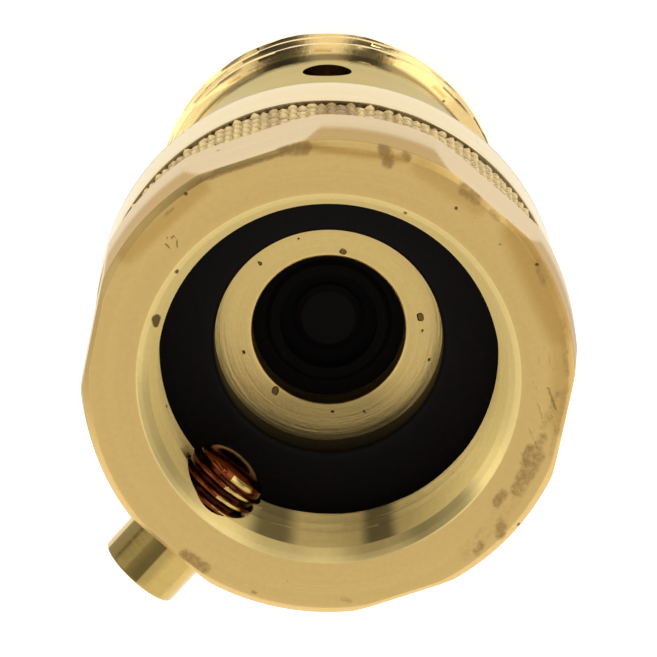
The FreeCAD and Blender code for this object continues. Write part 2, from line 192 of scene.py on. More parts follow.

# Patches by angle in the picture: angle, half width in degrees, strength. The shelf and edge patches are
# painted shade, the socket and mouth patches painted reflections of dark surroundings, the knurl's patches
# dirt
SHELF_SHADE = [(270.0, 45.0, 0.5)]
SOCKET_SHADE = [(251.0, 7.0, 0.75), (287.0, 5.0, 0.75)]
MOUTH_SHADE = [(308.0, 13.0, 0.6), (200.0, 20.0, 0.3)]
EDGE_SHADE = [(150.0, 38.0, 0.5)]
KNURL_DIRT = [(88.0, 5.0, 0.9), (75.0, 3.0, 0.5), (104.0, 3.0, 0.5), (130.0, 4.0, 0.4)]
# Strengths of painted shade in the knurl's valleys and in the gap before the ring, of a darker tint on the
# collar's round arcs and on the neck, and of painted shade in the groove at the thread's run-out
VALLEY_SHADE = 0.75
GAP_SHADE = 0.7
ARC_DARKENING = 0.85
NECK_DARKENING = 0.75
RUN_OUT_SHADE = 0.75

# Painted shade on the screw's head and thread roots, and painted glints on its tip: turns about its own
# axis in degrees, and lengths from its tip in mm
HEAD_SHADE = 0.8
HEAD_SHADE_TURN = (93.0, 165.0)
ROOT_SHADE = 0.9
PAINTED_GLINT_TURN = (48.0, 92.0)
PAINTED_GLINT_LENGTH = (0.7, 3.4)

# Brightness of the surround: its sides, its ceiling and what the floor shows in reflections
SIDES = 1.05
CEILING = 0.72
CEILING_START = (0.75, 0.95)
FLOOR_GLOW = 0.5

# Dark gaps in the sides: angle in the picture, half width in degrees, strength, sine of the top's height
GAPS = [
    (108.5, 11.5, 0.95, 0.85), (68.5, 10.0, 0.95, 0.85), (20.0, 16.0, 0.8, 0.4),
    (134.0, 19.0, 0.75, 0.6)]

# Brass: how its marks change the colour, gloss and bump. The first tint darkens the collar's round arcs,
# the neck and the face's wide marks; the shade tint darkens it under painted shade and painted reflections
DARKENING_TINT = (0.62, 0.47, 0.21, 1.0)
SHADE_TINT = (0.13, 0.13, 0.12, 1.0)
STAIN_DARKEN = (0.42, 0.36, 0.34)
STAIN_COVER = 0.8
STAIN_GLOSS = 0.15
STAIN_BREAK = 1.3
STAIN_SCALE = 260.0
PIT_COLOUR = (0.07, 0.035, 0.01, 1.0)
PIT_COVER = 0.85
PIT_SCALE = 1100.0
RING_PALE = 1.08
RING_DEEP = 0.88
GRAIN_SHARE = 0.16
GLOSS_SPREAD = 0.12
LATHE_DRIFT = 0.4
GRAIN_BUMP = 0.6
PIT_BUMP = 2.0
STAIN_BUMP = 0.8
BUMP_DISTANCE = 0.00004


def smooth(x):
    """Smoothstep: 3x^2 - 2x^3 with x kept within 0 and 1."""
    x = np.clip(x, 0.0, 1.0)
    return x * x * (3.0 - 2.0 * x)


def rounded(corners, steps=4):
    """Closed outline from (radius, height, cut) corners.

    A corner with a cut becomes a quadratic curve: it leaves the straight sides at that distance
    from the corner, and its points are (1-t)^2 a + 2t(1-t) c + t^2 b for t from 0 to 1.
    """
    points = np.array([corner[:2] for corner in corners], float)
    cuts = [corner[2] for corner in corners]
    t = np.linspace(0.0, 1.0, steps)[:, None]
    outline = []
    for k, cut in enumerate(cuts):
        corner = points[k]
        if cut == 0:
            outline.append(corner[None, :])
            continue
        before = points[k - 1] - corner
        after = points[(k + 1) % len(points)] - corner
        a = corner + before / np.linalg.norm(before) * cut
        b = corner + after / np.linalg.norm(after) * cut
        outline.append((1 - t) ** 2 * a + 2 * t * (1 - t) * corner + t ** 2 * b)
    return np.concatenate(outline)


def spread(outline, longest):
    """Closed outline with points added evenly on each side that is longer than longest(side's middle)."""
    parts = []
    for start, end in zip(outline, np.roll(outline, -1, axis=0)):
        step = longest((start + end) / 2)
        count = max(1, math.ceil(np.linalg.norm(end - start) / step))
        t = np.arange(count)[:, None] / count
        parts.append(start + (end - start) * t)
    return np.concatenate(parts)


def grid_object(name, grid, materials, zones=None, close_rows=True):
    """Mesh of the grid points[i, j] in mm: rows run along the outline, columns close round the axis.

    The faces are turned outwards by the sign of the volume that they enclose, which is the sum of
    a . (b x c) / 6 over their triangles.
    """
    rows, columns = grid.shape[:2]
    i = np.arange(rows if close_rows else rows - 1)[:, None]
    j = np.arange(columns)[None, :]
    below = (i + 1) % rows
    right = (j + 1) % columns
    quads = np.stack([
        i * columns + j, i * columns + right, below * columns + right, below * columns + j], axis=-1)
    row_of = np.repeat(i[:, 0], columns)
    quads = quads.reshape(-1, 4)
    points = grid.reshape(-1, 3)
    faces = quads.tolist()
    if not close_rows:
        faces += [list(range(columns))[::-1], list(range((rows - 1) * columns, rows * columns))]
    a, b, c, d = (points[quads[:, k]] for k in range(4))
    volume = np.einsum("ij,ij->i", a, np.cross(b, c)).sum() + np.einsum("ij,ij->i", a, np.cross(c, d)).sum()
    if volume < 0:
        faces = [face[::-1] for face in faces]
    mesh = bpy.data.meshes.new(name)
    mesh.from_pydata((points * MM).tolist(), [], faces)
    for material in materials:
        mesh.materials.append(material)
    if zones is not None:
        index = np.zeros(len(faces), np.int32)
        index[:len(row_of)] = np.asarray(zones)[row_of]
        mesh.polygons.foreach_set("material_index", index)
    mesh.update()
    mesh.shade_smooth()
    mesh.set_sharp_from_angle(angle=math.radians(38))
    piece = bpy.data.objects.new(name, mesh)
    bpy.context.scene.collection.objects.link(piece)
    return piece


def turned_grid(radius, height, turn):
    """Points (r cos a, r sin a, z) for arrays of radius, height and angle of one shape."""
    return np.stack([radius * np.cos(turn), radius * np.sin(turn), height], axis=-1)


def thread_cut(height, turn, pitch, start=0.0):
    """Share of the thread's depth that is cut away, for a right-hand helix.

    The phase is height / pitch - angle / 2 pi + start. Its distance from the crest runs from 0 to 1:
    the cut is 0 on the crest's flat, 1 on the root's flat and straight between, as V flanks are.
    """
    phase = height / pitch - turn / (2 * math.pi) + start
    distance = 2 * np.abs(phase - np.round(phase))
    return np.clip((distance - CREST_SHARE) / (1 - CREST_SHARE - ROOT_SHARE), 0, 1)


def radial_cutter(radius, inner, outer, height, turn):
    """Closed cylinder along a radius of the body: a circle carried from one distance to another."""
    around = np.linspace(0, 2 * math.pi, 49)[:-1]
    along = np.array([inner, outer])[:, None]
    across = radius * np.cos(around)
    x = along * math.cos(turn) - across * math.sin(turn)
    y = along * math.sin(turn) + across * math.cos(turn)
    z = height + radius * np.sin(around) + 0 * along
    return grid_object("cutter", np.stack([x, y, z], axis=-1), [], close_rows=False)


def drill(piece, cutter):
    """Take the cutter's volume out of a piece, and keep the result as plain mesh."""
    cut = piece.modifiers.new("hole", "BOOLEAN")
    cut.operation = "DIFFERENCE"
    cut.solver = "EXACT"
    cut.object = cutter
    bpy.context.view_layer.update()
    graph = bpy.context.evaluated_depsgraph_get()
    result = bpy.data.meshes.new_from_object(piece.evaluated_get(graph))
    piece.modifiers.clear()
    piece.data = result
    bpy.data.objects.remove(cutter)
    result.shade_smooth()
    result.set_sharp_from_angle(angle=math.radians(38))


def picture_place(points):
    """Places across and up the picture, in mm from the bore's axis, of points in the frame."""
    base = -math.radians(SCREW_IMAGE_ANGLE)
    across = points[:, 0] * math.cos(base) + points[:, 1] * math.sin(base)
    up = points[:, 1] * math.cos(base) - points[:, 0] * math.sin(base)
    return across, up


def vertex_places(piece):
    """Vertices of a piece in mm."""
    places = np.empty(len(piece.data.vertices) * 3, np.float32)
    piece.data.vertices.foreach_get("co", places)
    return places.reshape(-1, 3) / MM


def write_attribute(piece, name, values):
    """Store one number for each vertex, for a material to read."""
    attribute = piece.data.attributes.new(name, "FLOAT", "POINT")
    attribute.data.foreach_set("value", np.asarray(values, np.float32))


def marks_on(places, marks, low, high):
    """Strength of the marks at each place between two heights.

    A mark's strength falls from its middle line to its width along a smoothstep.
    """
    across, up = picture_place(places)
    total = np.zeros(len(places))
    for x0, y0, x1, y1, width, strength in marks:
        along_x, along_y = x1 - x0, y1 - y0
        share = ((across - x0) * along_x + (up - y0) * along_y) / (along_x ** 2 + along_y ** 2)
        share = np.clip(share, 0, 1)
        distance = np.hypot(across - x0 - share * along_x, up - y0 - share * along_y)
        total = np.maximum(total, strength * smooth(1.35 * (1 - distance / (1.35 * width))))
    return np.where((places[:, 2] > low) & (places[:, 2] < high), total, 0)


def patches_on(places, patches, where):
    """Strength of the patches at each place, by its angle in the picture, where they may lie: painted
    shade, painted reflections, or the knurl's dirt.
    """
    across, up = picture_place(places)
    angle = np.degrees(np.arctan2(up, across))
    total = np.zeros(len(places))
    for middle, half, strength in patches:
        away = np.abs((angle - middle + 180) % 360 - 180)
        total = np.maximum(total, strength * smooth(1.5 * (1 - away / (1.5 * half))))
    return np.where(where, total, 0)


def new_group(name, inputs, outputs):
    """Empty shader group with named sockets; each input is (name, kind, default)."""
    group = bpy.data.node_groups.new(name, "ShaderNodeTree")
    for label, kind, default in inputs:
        socket = group.interface.new_socket(label, in_out="INPUT", socket_type="NodeSocket" + kind)
        if default is not None:
            socket.default_value = default
    for label, kind in outputs:
        group.interface.new_socket(label, in_out="OUTPUT", socket_type="NodeSocket" + kind)
    return group, group.nodes.new("NodeGroupInput"), group.nodes.new("NodeGroupOutput")


def add(tree, kind, links=(), **settings):
    """New node with its settings and inputs; an input is a socket to link or a plain value."""
    node = tree.nodes.new(kind)
    for key, value in settings.items():
        setattr(node, key, value)
    for socket, value in dict(links).items():
        if isinstance(value, bpy.types.NodeSocket):
            tree.links.new(value, node.inputs[socket])
        else:
            node.inputs[socket].default_value = value
    return node


def maths(tree, operation, *values):
    """Result of one Math node."""
    node = add(tree, "ShaderNodeMath", enumerate(values), operation=operation)
    return node.outputs[0]


def mix_colour(tree, share, first, second, blend="MIX"):
    """Result of one colour Mix node."""
    node = add(tree, "ShaderNodeMix", data_type="RGBA", blend_type=blend)
    for socket, value in ((node.inputs[0], share), (node.inputs[6], first), (node.inputs[7], second)):
        if isinstance(value, bpy.types.NodeSocket):
            tree.links.new(value, socket)
        else:
            socket.default_value = value
    return node.outputs[2]


def step(tree, value, low, high):
    """Value mapped from low..high to 0..1 along a smooth curve."""
    node = add(tree, "ShaderNodeMapRange", {"Value": value, "From Min": low, "From Max": high})
    node.interpolation_type = "SMOOTHSTEP"
    return node.outputs["Result"]


def turning_group():
    """Lathe marks: noise read at (radius, height) and hardly along the turn, so that it makes rings."""
    group, start, end = new_group(
        "lathe marks", [("Place", "Vector", None), ("Per metre", "Float", 3000.0), ("Drift", "Float", 0.4)],
        [("Height", "Float"), ("Broad", "Float")])
    split = add(group, "ShaderNodeSeparateXYZ", {0: start.outputs["Place"]})
    x, y, z = split.outputs
    radius = maths(group, "SQRT", maths(group, "ADD", maths(group, "MULTIPLY", x, x),
                                        maths(group, "MULTIPLY", y, y)))
    turn = maths(group, "ARCTAN2", y, x)
    rate = start.outputs["Per metre"]
    place = add(group, "ShaderNodeCombineXYZ", {
        0: maths(group, "MULTIPLY", radius, rate), 1: maths(group, "MULTIPLY", z, rate),
        2: maths(group, "MULTIPLY", maths(group, "ABSOLUTE", turn), start.outputs["Drift"])})
    fine = add(group, "ShaderNodeTexNoise", {
        "Vector": place.outputs[0], "Scale": 1.0, "Detail": 3.0, "Roughness": 0.7})
    broad = add(group, "ShaderNodeTexNoise", {
        "Vector": place.outputs[0], "Scale": 0.22, "Detail": 2.0, "Roughness": 0.5})
    group.links.new(fine.outputs[0], end.inputs["Height"])
    group.links.new(broad.outputs[0], end.inputs["Broad"])
    return group


def tarnish_group():
    """Cloudy stains: two sizes of noise multiplied, then cut by a threshold that the amount lowers."""
    group, start, end = new_group(
        "tarnish", [("Place", "Vector", None), ("Scale", "Float", 300.0), ("Amount", "Float", 0.3)],
        [("Mask", "Float"), ("Grain", "Float")])
    cloud = add(group, "ShaderNodeTexNoise", {
        "Vector": start.outputs["Place"], "Scale": start.outputs["Scale"], "Detail": 5.0,
        "Roughness": 0.62, "Distortion": 0.6})
    grain = add(group, "ShaderNodeTexNoise", {
        "Vector": start.outputs["Place"], "Scale": maths(group, "MULTIPLY", start.outputs["Scale"], 9.0),
        "Detail": 3.0, "Roughness": 0.7})
    mixed = maths(group, "ADD", cloud.outputs[0], maths(group, "MULTIPLY", grain.outputs[0], 0.25))
    low = maths(group, "SUBTRACT", 0.95, maths(group, "MULTIPLY", start.outputs["Amount"], 0.5))
    mask = step(group, mixed, low, maths(group, "ADD", low, 0.16))
    group.links.new(mask, end.inputs["Mask"])
    group.links.new(grain.outputs[0], end.inputs["Grain"])
    return group


def pits_group():
    """Small scattered pits: cells whose own random value is high, dark inside a short distance."""
    group, start, end = new_group(
        "pits", [("Place", "Vector", None), ("Scale", "Float", 900.0), ("Share", "Float", 0.08),
                 ("Size", "Float", 0.22)],
        [("Mask", "Float")])
    cells = add(group, "ShaderNodeTexVoronoi", {
        "Vector": start.outputs["Place"], "Scale": start.outputs["Scale"]})
    chance = add(group, "ShaderNodeSeparateColor", {0: cells.outputs["Color"]}).outputs[0]
    picked = maths(group, "LESS_THAN", chance, start.outputs["Share"])
    near = step(group, cells.outputs["Distance"], start.outputs["Size"],
                maths(group, "MULTIPLY", start.outputs["Size"], 0.45))
    group.links.new(maths(group, "MULTIPLY", picked, near), end.inputs["Mask"])
    return group


LATHE = turning_group()
TARNISH = tarnish_group()
PITS = pits_group()


def use(tree, group, **inputs):
    """Place a shader group in a material with its own values."""
    node = tree.nodes.new("ShaderNodeGroup")
    node.node_tree = group
    for label, value in inputs.items():
        socket = node.inputs[label.replace("_", " ")]
        if isinstance(value, bpy.types.NodeSocket):
            tree.links.new(value, socket)
        else:
            socket.default_value = value
    return node


def blank_material(name):
    """Material with one Principled shader, and the socket that gives object coordinates."""
    material = bpy.data.materials.new(name)
    material.use_nodes = True
    tree = material.node_tree
    shader = tree.nodes["Principled BSDF"]
    place = tree.nodes.new("ShaderNodeTexCoord").outputs["Object"]
    return material, tree, shader, place


def brass(name, colour, rough, lathe=3000.0, lathe_depth=0.5, stain=0.3, pits=0.02, axis_x=False,
          stretch=0.0, edge=(1.0, 1.0, 1.0)):
    """Brass finish: lathe rings, grain and pits, tarnish clouds and the marks written on the piece: stains,
    pits, a darker tint, and painted shade and painted reflections.

    stretch draws the gloss out across the lathe marks, from 0 to 1, and edge tints what is seen
    at a grazing angle.
    """
    material, tree, shader, place = blank_material(name)
    if axis_x:
        turned = add(tree, "ShaderNodeMapping", {
            "Vector": place, "Location": (-SCREW_Z * MM, 0.0, 0.0), "Rotation": (0.0, math.pi / 2, 0.0)})
        place = turned.outputs[0]
    marks = use(tree, LATHE, Place=place, Per_metre=lathe, Drift=LATHE_DRIFT)
    clouds = use(tree, TARNISH, Place=place, Scale=STAIN_SCALE, Amount=stain)
    dots = use(tree, PITS, Place=place, Scale=PIT_SCALE, Share=pits)
    drawn = add(tree, "ShaderNodeAttribute", attribute_name="stain").outputs["Fac"]
    pitted = add(tree, "ShaderNodeAttribute", attribute_name="pit").outputs["Fac"]
    darkening = add(tree, "ShaderNodeAttribute", attribute_name="darkening").outputs["Fac"]
    shade = add(tree, "ShaderNodeAttribute", attribute_name="shade").outputs["Fac"]
    uneven = maths(tree, "SUBTRACT", clouds.outputs["Grain"], 0.5)
    broken = maths(tree, "ADD", drawn, maths(tree, "MULTIPLY", uneven, STAIN_BREAK))
    spots = maths(tree, "MULTIPLY", step(tree, broken, 0.1, 1.0), step(tree, drawn, 0.02, 0.5))
    mask = maths(tree, "MAXIMUM", clouds.outputs["Mask"], spots)
    holes = maths(tree, "MAXIMUM", dots.outputs["Mask"], step(tree, pitted, 0.3, 0.75))
    dark = tuple(c * k for c, k in zip(colour, STAIN_DARKEN)) + (1.0,)
    pale = tuple(min(1.0, c * RING_PALE) for c in colour) + (1.0,)
    deep = tuple(c * RING_DEEP for c in colour) + (1.0,)
    ringed = mix_colour(tree, marks.outputs["Broad"], deep, pale)
    grain = maths(tree, "MULTIPLY", clouds.outputs["Grain"], GRAIN_SHARE)
    level = maths(tree, "ADD", 1.0 - GRAIN_SHARE / 2, grain)
    tone = add(tree, "ShaderNodeVectorMath", {0: ringed, 3: level}, operation="SCALE").outputs[0]
    # Darker tint from the piece's attribute, on the collar's round arcs, the neck and the face's wide marks
    darkened = mix_colour(tree, darkening, tone, mix_colour(tree, 1.0, tone, DARKENING_TINT, "MULTIPLY"))
    # Painted shade and painted reflections: the shade attribute darkens the colour towards the shade tint
    shaded = mix_colour(tree, shade, darkened, mix_colour(tree, 1.0, darkened, SHADE_TINT, "MULTIPLY"))
    stained = mix_colour(tree, maths(tree, "MULTIPLY", mask, STAIN_COVER), shaded, dark)
    finished = mix_colour(tree, maths(tree, "MULTIPLY", holes, PIT_COVER), stained, PIT_COLOUR)
    tree.links.new(finished, shader.inputs["Base Color"])
    shader.inputs["Metallic"].default_value = 1.0
    ridges = maths(tree, "SUBTRACT", marks.outputs["Height"], 0.5)
    spread_rough = maths(tree, "ADD", rough, maths(tree, "MULTIPLY", ridges, GLOSS_SPREAD))
    gloss = maths(tree, "ADD", spread_rough, maths(tree, "MULTIPLY", mask, STAIN_GLOSS))
    tree.links.new(gloss, shader.inputs["Roughness"])
    rough_grain = maths(tree, "MULTIPLY", clouds.outputs["Grain"], GRAIN_BUMP)
    height = maths(tree, "ADD", marks.outputs["Height"], rough_grain)
    height = maths(tree, "SUBTRACT", height, maths(tree, "MULTIPLY", holes, PIT_BUMP))
    height = maths(tree, "SUBTRACT", height, maths(tree, "MULTIPLY", spots, STAIN_BUMP))
    bump = add(tree, "ShaderNodeBump", {
        "Height": height, "Strength": lathe_depth, "Distance": BUMP_DISTANCE})
    tree.links.new(bump.outputs[0], shader.inputs["Normal"])
    shader.inputs["Specular Tint"].default_value = edge + (1.0,)
    if stretch:
        along_marks = add(tree, "ShaderNodeTangent", direction_type="RADIAL", axis="Z")
        tree.links.new(along_marks.outputs[0], shader.inputs["Tangent"])
        shader.inputs["Anisotropic"].default_value = stretch
        shader.inputs["Anisotropic Rotation"].default_value = 0.25
    return material


def rubber(name, colour, rough=0.5):
    """Black rubber: fine grain in colour, gloss and bump, with a little dust."""
    material, tree, shader, place = blank_material(name)
    clouds = use(tree, TARNISH, Place=place, Scale=500.0, Amount=0.45)
    dusty = tuple(c * 1.8 for c in colour) + (1.0,)
    tone = mix_colour(tree, clouds.outputs["Mask"], colour + (1.0,), dusty)
    tree.links.new(tone, shader.inputs["Base Color"])
    shader.inputs["Specular IOR Level"].default_value = 0.12
    gloss = maths(tree, "ADD", rough, maths(tree, "MULTIPLY", clouds.outputs["Grain"], 0.2))
    tree.links.new(gloss, shader.inputs["Roughness"])
    bump = add(tree, "ShaderNodeBump", {
        "Height": clouds.outputs["Grain"], "Strength": 0.3, "Distance": 0.00003})
    tree.links.new(bump.outputs[0], shader.inputs["Normal"])
    return material


def steel(name):
    """Drawn steel wire: grey, with fine scratches in gloss and bump."""
    material, tree, shader, place = blank_material(name)
    marks = use(tree, LATHE, Place=place, Per_metre=5000.0, Drift=1.2)
    tone = mix_colour(tree, marks.outputs["Broad"], (0.42, 0.42, 0.41, 1.0), (0.62, 0.61, 0.59, 1.0))
    tree.links.new(tone, shader.inputs["Base Color"])
    shader.inputs["Metallic"].default_value = 1.0
    tree.links.new(step(tree, marks.outputs["Height"], -0.9, 3.0), shader.inputs["Roughness"])
    bump = add(tree, "ShaderNodeBump", {
        "Height": marks.outputs["Height"], "Strength": 0.3, "Distance": 0.00002})
    tree.links.new(bump.outputs[0], shader.inputs["Normal"])
    return material


def plastic(name):
    """Dark moulded plastic with a faint grain."""
    material, tree, shader, place = blank_material(name)
    clouds = use(tree, TARNISH, Place=place, Scale=700.0, Amount=0.3)
    tone = mix_colour(
        tree, clouds.outputs["Grain"], (0.0025, 0.002, 0.002, 1.0), (0.005, 0.004, 0.004, 1.0))
    tree.links.new(tone, shader.inputs["Base Color"])
    shader.inputs["Specular IOR Level"].default_value = 0.06
    gloss = maths(tree, "ADD", 0.4, maths(tree, "MULTIPLY", clouds.outputs["Grain"], 0.15))
    tree.links.new(gloss, shader.inputs["Roughness"])
    bump = add(tree, "ShaderNodeBump", {
        "Height": clouds.outputs["Grain"], "Strength": 0.2, "Distance": 0.00002})
    tree.links.new(bump.outputs[0], shader.inputs["Normal"])
    return material


BRASS = (0.74, 0.51, 0.185)
FACE_BRASS = brass("faced brass", BRASS, 0.40, lathe=2600.0, lathe_depth=0.6, stain=0.25)
CHAMFER_BRASS = brass("mouth chamfer brass", (1.0, 0.74, 0.30), 0.45, lathe=2600.0, stain=0.1,
                      stretch=0.9)
FLAT_BRASS = brass("milled brass flats", (0.62, 0.51, 0.33), 0.30, lathe=1500.0,
                   lathe_depth=0.2, stain=0.2, edge=(0.93, 0.83, 0.68))
KNURL_BRASS = brass("knurled brass", (0.66, 0.48, 0.20), 0.25, lathe_depth=0.1, stain=0.5)
RING_BRASS = brass("polished brass ring", (0.74, 0.60, 0.36), 0.16, lathe=1800.0,
                   lathe_depth=0.15, stain=0.05, edge=(0.93, 0.90, 0.80))
BORE_BRASS = brass("bored brass", (1.0, 0.75, 0.30), 0.55, lathe=2200.0, lathe_depth=1.0, stain=0.15,
                   stretch=0.9)
SHELF_BRASS = brass("shelf brass", (0.79, 0.565, 0.205), 0.34, lathe=2600.0, lathe_depth=0.8, stain=0.2)
SCREW_BRASS = brass("screw brass", (0.60, 0.42, 0.13), 0.18, lathe=3200.0, lathe_depth=0.3, stain=0.15,
                    axis_x=True, pits=0.0)
# The tip's thread is near-black brass as painted shade, with painted glints of the screw brass on its
# crests
TIP_BRASS_PAINTED_DARK = brass("screw thread brass", (0.17, 0.04, 0.012), 0.15, lathe=3200.0, lathe_depth=0.3, stain=0.3,
                  axis_x=True)
NECK_BRASS = brass("neck brass", (0.66, 0.48, 0.19), 0.15, lathe=1800.0, lathe_depth=0.25, stain=0.15,
                   edge=(0.84, 0.88, 0.68))
THREAD_BRASS = brass("hose thread brass", (0.86, 0.62, 0.25), 0.15, lathe=1800.0, lathe_depth=0.25,
                     stain=0.15)
SLEEVE_BRASS = brass("sleeve brass", (0.78, 0.56, 0.22), 0.25)
BLACK_RUBBER = rubber("black rubber", (0.0020, 0.0012, 0.0012), 0.7)
WASHER_RUBBER = rubber("washer rubber", (0.0035, 0.0022, 0.0020), 0.5)
STEEL = steel("spring steel")
PLASTIC = plastic("dark plastic")


def collar_limit(turn, round_radius, bevel):
    """Radius of the collar's outline: (apothem - bevel) / cos(angle to the flat), kept to the round.

    The two are joined by a soft minimum, -k ln(e^(-a/k) + e^(-b/k)), so that the edge is eased.
    """
    sixth = math.pi / 3
    away = turn - sixth * np.round(turn / sixth)
    flat = (FLAT_APOTHEM - bevel) / np.cos(away)
    k = 0.02
    return -k * np.logaddexp(-flat / k, -round_radius / k)


def knurl(height, turn):
    """Height of a diamond knurl: 0 in two crossing sets of V grooves, rising to each diamond's tip.

    A diamond's tip is worn flat at a height of its own, between 0.45 and 1, from a seeded table.
    """
    rate = KNURL_TEETH / (2 * math.pi)
    lead = KNURL_TEETH / (2 * math.pi * BAND_R) * height
    first = rate * turn + lead
    second = rate * turn - lead
    v = 2 * np.minimum(np.abs(first - np.round(first)), np.abs(second - np.round(second)))
    worn = np.random.default_rng(KNURL_SEED).uniform(0.45, 1.0, (KNURL_TEETH, KNURL_TEETH))
    row = np.floor(first).astype(int) % KNURL_TEETH
    column = np.floor(second).astype(int) % KNURL_TEETH
    return np.minimum(v * 1.25, worn[row, column])


def inlet_outline():
    """Closed outline of the inlet half as (radius, height)."""
    band_end = INLET_Z - BODY_END_Z - RING_LENGTH
    outside = [
        (MOUTH_R, 0, 0.12), (FACE_R, 0, 0.06), (FACE_R + FACE_CHAMFER, FACE_CHAMFER, 0.08),
        (COLLAR_R, TAPER_END, 0.5), (COLLAR_R, COLLAR_LENGTH - REAR_LENGTH, 0.2),
        (COLLAR_R - REAR_CHAMFER, COLLAR_LENGTH, 0.06),
        (BAND_R, COLLAR_LENGTH, 0.04), (BAND_R, band_end - GROOVE_WIDTH, 0.04),
        (BAND_R - GROOVE_DEPTH, band_end - GROOVE_WIDTH, 0.05), (BAND_R - GROOVE_DEPTH, band_end, 0.05),
        (RING_R, band_end, 0.1), (RING_R, INLET_Z - BODY_END_Z, 0.6), (LIP_R, INLET_Z - BODY_END_Z, 0.3)]
    lip_top = INLET_Z - BODY_END_Z - LIP_THICKNESS
    inside = [
        (LIP_R, lip_top, 0), (CHAMBER_R, lip_top, 0), (CHAMBER_R, WEB_END, 0), (PORT_R, WEB_END, 0.15),
        (PORT_R, SHELF_DEPTH, 0.25), (WASHER_INNER_R + 0.2, SHELF_DEPTH, 0), (RELIEF_R, SHELF_DEPTH, 0),
        (RELIEF_R, FEMALE_END + 1.45, 0.2),
        (FEMALE_R, FEMALE_END, 0.1), (FEMALE_R, LEAD_END, 0.1), (LEAD_R, MOUTH_DEPTH, 0.06),
        (MOUTH_R - MOUTH_STEP, MOUTH_STEP * 0.75, 0.05)]
    corners = [(r, INLET_Z - depth, cut) for r, depth, cut in outside + inside]
    return rounded(corners)


def inlet_rows(middle):
    """Longest step of the inlet outline near a point: fine on threads and knurl, coarse elsewhere."""
    radius, height = middle
    depth = INLET_Z - height
    if radius < FEMALE_R + 0.2 and LEAD_END < depth < FEMALE_END:
        return PITCH / 14
    band_end = INLET_Z - BODY_END_Z - RING_LENGTH - GROOVE_WIDTH
    if radius > BAND_R - 0.3 and COLLAR_LENGTH + 0.1 < depth < band_end:
        return 2 * math.pi * BAND_R / KNURL_TEETH / KNURL_STEPS
    if radius > FACE_R and depth < TAPER_END + 1.2:
        return 0.17 if depth < FACE_CHAMFER else 0.3
    if depth < MOUTH_DEPTH + 0.01:
        return 0.25
    if abs(depth - SHELF_DEPTH) < 0.01 and radius < WASHER_INNER_R + 0.3:
        return 0.22
    return 1.6


FACE, CHAMFER, FLAT, KNURL, RING, BORE, SHELF = range(7)


def inlet_zone(radius, depth):
    """Which finish a row of the inlet half has."""
    if depth < 0.02 and radius > MOUTH_R - 0.1:
        return FACE
    if radius > BAND_R - 0.8 and depth < COLLAR_LENGTH + 0.05:
        return FACE if depth < FACE_CHAMFER * 0.9 else FLAT
    if radius > BAND_R - 0.8:
        return KNURL if depth < INLET_Z - BODY_END_Z - RING_LENGTH - 0.05 else RING
    if depth > SHELF_DEPTH - 0.4:
        return SHELF
    return CHAMFER if depth < MOUTH_DEPTH else BORE


